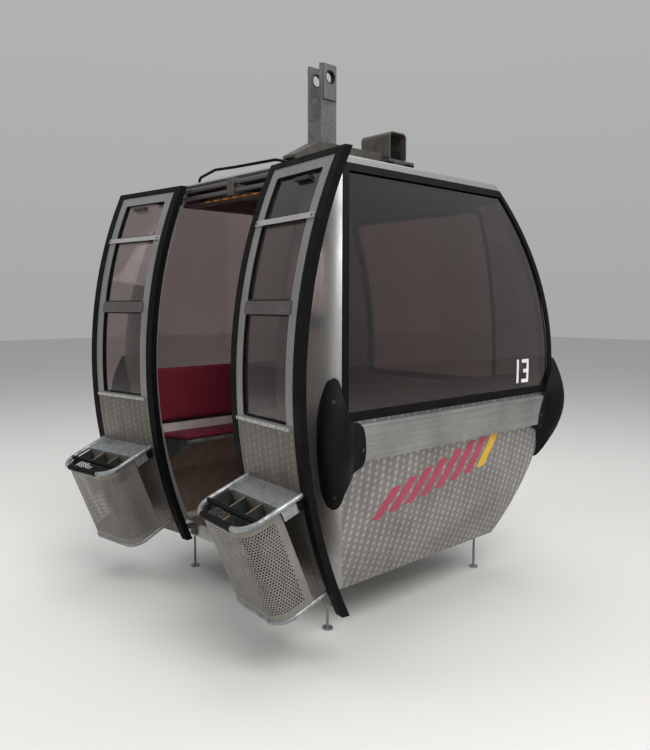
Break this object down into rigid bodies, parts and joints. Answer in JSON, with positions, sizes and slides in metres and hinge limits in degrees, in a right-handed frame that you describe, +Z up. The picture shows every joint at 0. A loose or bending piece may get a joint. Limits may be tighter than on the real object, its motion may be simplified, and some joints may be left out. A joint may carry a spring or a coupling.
{
  "type": "six-seat cable car cabin",
  "caption": "Enclosed gondola cabin with barrel-shaped aluminium walls, large smoked windows, open sliding door leaves with ski racks, facing benches and a forked hanger post.",
  "frame": {"origin": "centre of the hanger pin's bore, between the two ears of the fork on top of the roof post", "axes": "+X along the direction of travel, -Y towards the doorway, +Z up; the pin's bore runs along X"},
  "size_m": [1.9994, 2.2867, 2.932],
  "materials": {
    "black_rubber": "matt",
    "brown_laminate": "matt",
    "brushed_alu": "brushed",
    "dark_liner": "matt",
    "dark_plastic": "satin",
    "door_alu": "satin anodised",
    "door_sheet": "fine patterned sheet",
    "dull_steel": "weathered",
    "floor_sheet": "worn",
    "galvanised": "galvanised",
    "light_laminate": "satin",
    "pearl_alu": "engine-turned sheet",
    "perforated": "perforated",
    "roof_alu": "matt",
    "seat_fabric": "woven",
    "smoked_glass": "smoked",
    "steel_rod": "ground"
  },
  "bodies": {
    "root": {"back_bumper_front": "black_rubber", "back_bumper_rear": "black_rubber", "back_gasket": "black_rubber", "back_post_front": "brushed_alu", "back_post_rear": "brushed_alu", "back_wall": "brushed_alu", "back_window": "smoked_glass", "bumper_beam_front": "brushed_alu", "bumper_beam_rear": "brushed_alu", "ceiling": "dark_liner", "damper_box": "dull_steel", "damper_rubbers": "black_rubber", "door_bumper_front": "black_rubber", "door_bumper_rear": "black_rubber", "door_carriers": "dull_steel", "door_frame_front": "door_alu", "door_frame_rear": "door_alu", "door_glass_front": "smoked_glass", "door_glass_rear": "smoked_glass", "door_guides": "dull_steel", "door_header": "dark_liner", "door_panel_front": "door_sheet", "door_panel_rear": "door_sheet", "door_post_front": "brushed_alu", "door_post_rear": "brushed_alu", "door_rails": "dark_plastic", "door_rods": "steel_rod", "door_seal_front": "black_rubber", "door_seal_rear": "black_rubber", "door_sill": "brushed_alu", "door_trims": "brushed_alu", "end_gasket_front": "black_rubber", "end_gasket_rear": "black_rubber", "end_panel_front": "pearl_alu", "end_panel_rear": "pearl_alu", "end_window_front": "smoked_glass", "end_window_rear": "smoked_glass", "floor_pan": "brushed_alu", "floor_plate": "floor_sheet", "hanger_post": "galvanised", "kick_panels": "brown_laminate", "rack_bars": "black_rubber", "rack_basket_front": "perforated", "rack_basket_rear": "perforated", "rack_frame_front": "galvanised", "rack_frame_rear": "galvanised", "release_cable": "black_rubber", "rod_brackets": "galvanised", "roof": "roof_alu", "roof_yoke": "dull_steel", "seat_back_front": "seat_fabric", "seat_back_rear": "seat_fabric", "seat_cushion_front": "seat_fabric", "seat_cushion_rear": "seat_fabric", "seat_frame_front": "galvanised", "seat_frame_rear": "galvanised", "seat_strips": "light_laminate", "stand_feet": "galvanised", "yoke_foot": "dull_steel"}
  },
  "joints": []
}
